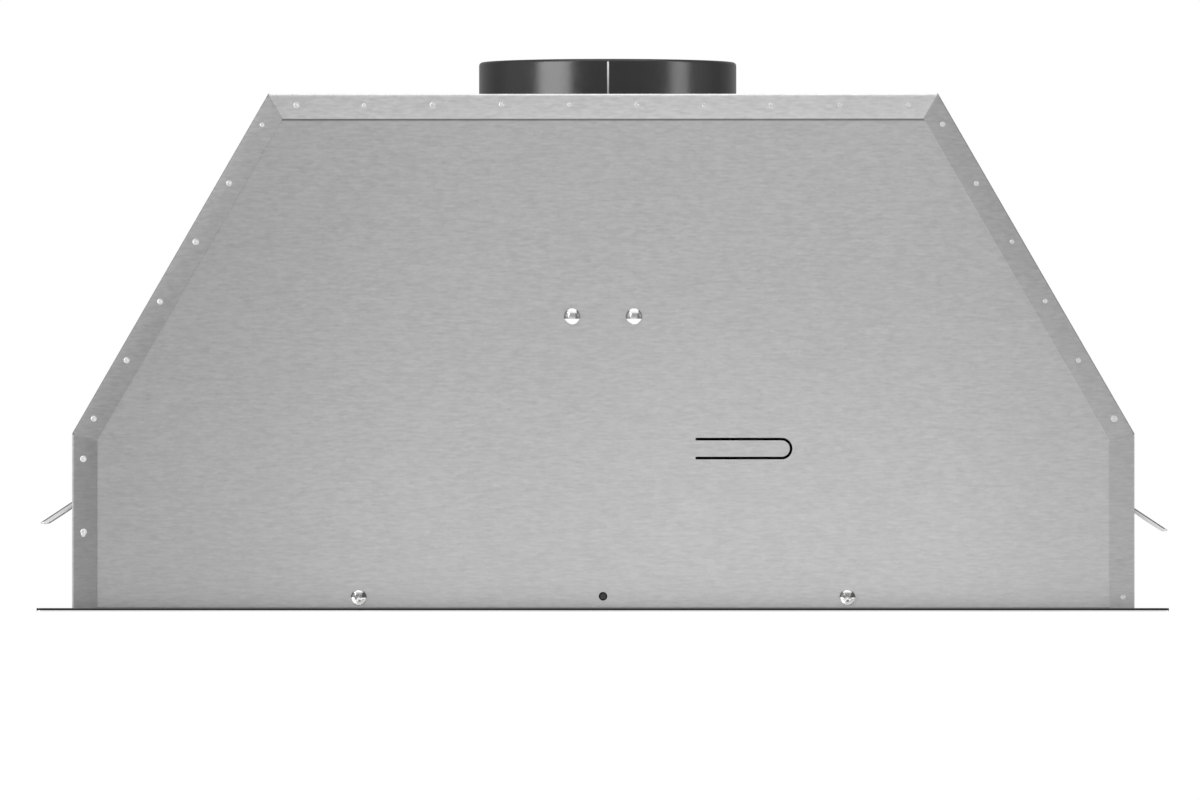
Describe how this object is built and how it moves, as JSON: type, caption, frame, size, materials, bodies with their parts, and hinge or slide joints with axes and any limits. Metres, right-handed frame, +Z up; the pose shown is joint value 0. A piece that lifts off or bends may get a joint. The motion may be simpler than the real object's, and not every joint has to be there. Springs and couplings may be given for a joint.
{
  "type": "built-in range hood",
  "caption": "Built-in range hood insert with a sloped galvanised canopy, a flat trim, baffle filters, lamps, push buttons, a blower and a duct collar with damper flaps.",
  "frame": {"origin": "middle of the trim's underside", "axes": "+Z up, front face towards -Y, +X to the right seen from the front"},
  "size_m": [0.865, 0.49, 0.427],
  "materials": {
    "galvanised": "matt zinc with a fine spangle",
    "stainless": "brushed",
    "collar_black": "gloss",
    "flap_metal": "mill",
    "bright_steel": "ground",
    "ring_plastic": "satin",
    "motor_black": "satin",
    "lamp_trim": "polished",
    "lamp_glass": "frosted",
    "heat_sink": "cast",
    "plate_black": "gloss",
    "button_metal": "satin",
    "spring_steel": "bright",
    "screw_zinc": "bright zinc"
  },
  "bodies": {
    "hood": {"canopy_wrap": "galvanised", "front_panel": "galvanised", "rear_panel": "galvanised", "scroll_wrapper": "galvanised", "scroll_left_plate": "galvanised", "scroll_right_plate": "galvanised", "junction_box": "galvanised", "junction_cover": "galvanised", "blower_stay": "galvanised", "capacitor_clip": "galvanised", "motor_mount": "galvanised", "clip_bases": "galvanised", "spring_seats": "galvanised", "underside_tray": "stainless", "duct_collar": "collar_black", "damper_pin": "bright_steel", "inlet_ring_left": "ring_plastic", "inlet_ring_right": "ring_plastic", "capacitor": "ring_plastic", "motor": "motor_black", "lamp_driver": "motor_black", "switch_block": "motor_black", "lamp_ring_left": "lamp_trim", "lamp_ring_right": "lamp_trim", "lamp_lens_left": "lamp_glass", "lamp_lens_right": "lamp_glass", "lamp_module_left": "heat_sink", "lamp_module_right": "heat_sink", "control_plate": "plate_black", "dome_screws": "screw_zinc", "low_screws": "screw_zinc", "collar_screws": "screw_zinc", "blower_screws": "screw_zinc", "motor_screws": "screw_zinc"},
    "wheel": {"blower_wheel": "flap_metal", "wheel_shaft": "bright_steel"},
    "flap_left": {"damper_flap_left": "flap_metal"},
    "flap_right": {"damper_flap_right": "flap_metal"},
    "clip_left": {"side_clip_left": "spring_steel"},
    "clip_right": {"side_clip_right": "spring_steel"},
    "filter_left": {"filter_frame_left": "stainless", "lower_vanes_left": "stainless", "upper_vanes_left": "stainless", "filter_handle_left": "stainless"},
    "filter_right": {"filter_frame_right": "stainless", "lower_vanes_right": "stainless", "upper_vanes_right": "stainless", "filter_handle_right": "stainless"},
    "spring_left": {"filter_spring_left": "spring_steel"},
    "spring_right": {"filter_spring_right": "spring_steel"},
    "button_light": {"button_light": "button_metal"},
    "button_off": {"button_off": "button_metal"},
    "button_low": {"button_low": "button_metal"},
    "button_medium": {"button_medium": "button_metal"},
    "button_high": {"button_high": "button_metal"}
  },
  "joints": [
    {"name": "wheel_spin", "type": "hinge", "parent": "hood", "child": "wheel", "pos_m": [0, -0.05978, 0.215], "axis": [1, 0, 0], "continuous": true},
    {"name": "flap_left_lift", "type": "hinge", "parent": "hood", "child": "flap_left", "pos_m": [0, 0, 0.4017], "axis": [0, 1, 0], "range_deg": [0, 78]},
    {"name": "flap_right_lift", "type": "hinge", "parent": "hood", "child": "flap_right", "pos_m": [0, 0, 0.4017], "axis": [0, -1, 0], "range_deg": [0, 78]},
    {"name": "clip_left_press", "type": "hinge", "parent": "hood", "child": "clip_left", "pos_m": [-0.405, -0.15, 0.0858], "axis": [0, -1, 0], "range_deg": [0, 54], "stiffness_Nm_per_rad": 0.6, "springref_deg": -5.73},
    {"name": "clip_right_press", "type": "hinge", "parent": "hood", "child": "clip_right", "pos_m": [0.405, -0.15, 0.0802], "axis": [0, 1, 0], "range_deg": [0, 54], "stiffness_Nm_per_rad": 0.6, "springref_deg": -5.73},
    {"name": "filter_left_slide", "type": "slide", "parent": "hood", "child": "filter_left", "axis": [0, 1, 0], "range_m": [0, 0.0065], "stiffness_N_per_m": 900, "springref_m": -0.003},
    {"name": "filter_right_slide", "type": "slide", "parent": "hood", "child": "filter_right", "axis": [0, 1, 0], "range_m": [0, 0.0065], "stiffness_N_per_m": 900, "springref_m": -0.003},
    {"name": "spring_left_flex", "type": "hinge", "parent": "hood", "child": "spring_left", "pos_m": [-0.1946, 0.2133, 0.06], "axis": [1, 0, 0], "range_deg": [0, 11.4]},
    {"name": "spring_right_flex", "type": "hinge", "parent": "hood", "child": "spring_right", "pos_m": [0.1946, 0.2133, 0.06], "axis": [1, 0, 0], "range_deg": [0, 11.4]},
    {"name": "button_light_press", "type": "slide", "parent": "hood", "child": "button_light", "axis": [0, 0, 1], "range_m": [0, 0.0015], "stiffness_N_per_m": 400, "springref_m": -0.0005},
    {"name": "button_off_press", "type": "slide", "parent": "hood", "child": "button_off", "axis": [0, 0, 1], "range_m": [0, 0.0015], "stiffness_N_per_m": 400, "springref_m": -0.0005},
    {"name": "button_low_press", "type": "slide", "parent": "hood", "child": "button_low", "axis": [0, 0, 1], "range_m": [0, 0.0015], "stiffness_N_per_m": 400, "springref_m": -0.0005},
    {"name": "button_medium_press", "type": "slide", "parent": "hood", "child": "button_medium", "axis": [0, 0, 1], "range_m": [0, 0.0015], "stiffness_N_per_m": 400, "springref_m": -0.0005},
    {"name": "button_high_press", "type": "slide", "parent": "hood", "child": "button_high", "axis": [0, 0, 1], "range_m": [0, 0.0015], "stiffness_N_per_m": 400, "springref_m": -0.0005}
  ],
  "couplings": [
    {"joint": "spring_left_flex", "follows": "filter_left_slide", "rad_per_m": 30.42},
    {"joint": "spring_right_flex", "follows": "filter_right_slide", "rad_per_m": 30.42}
  ]
}
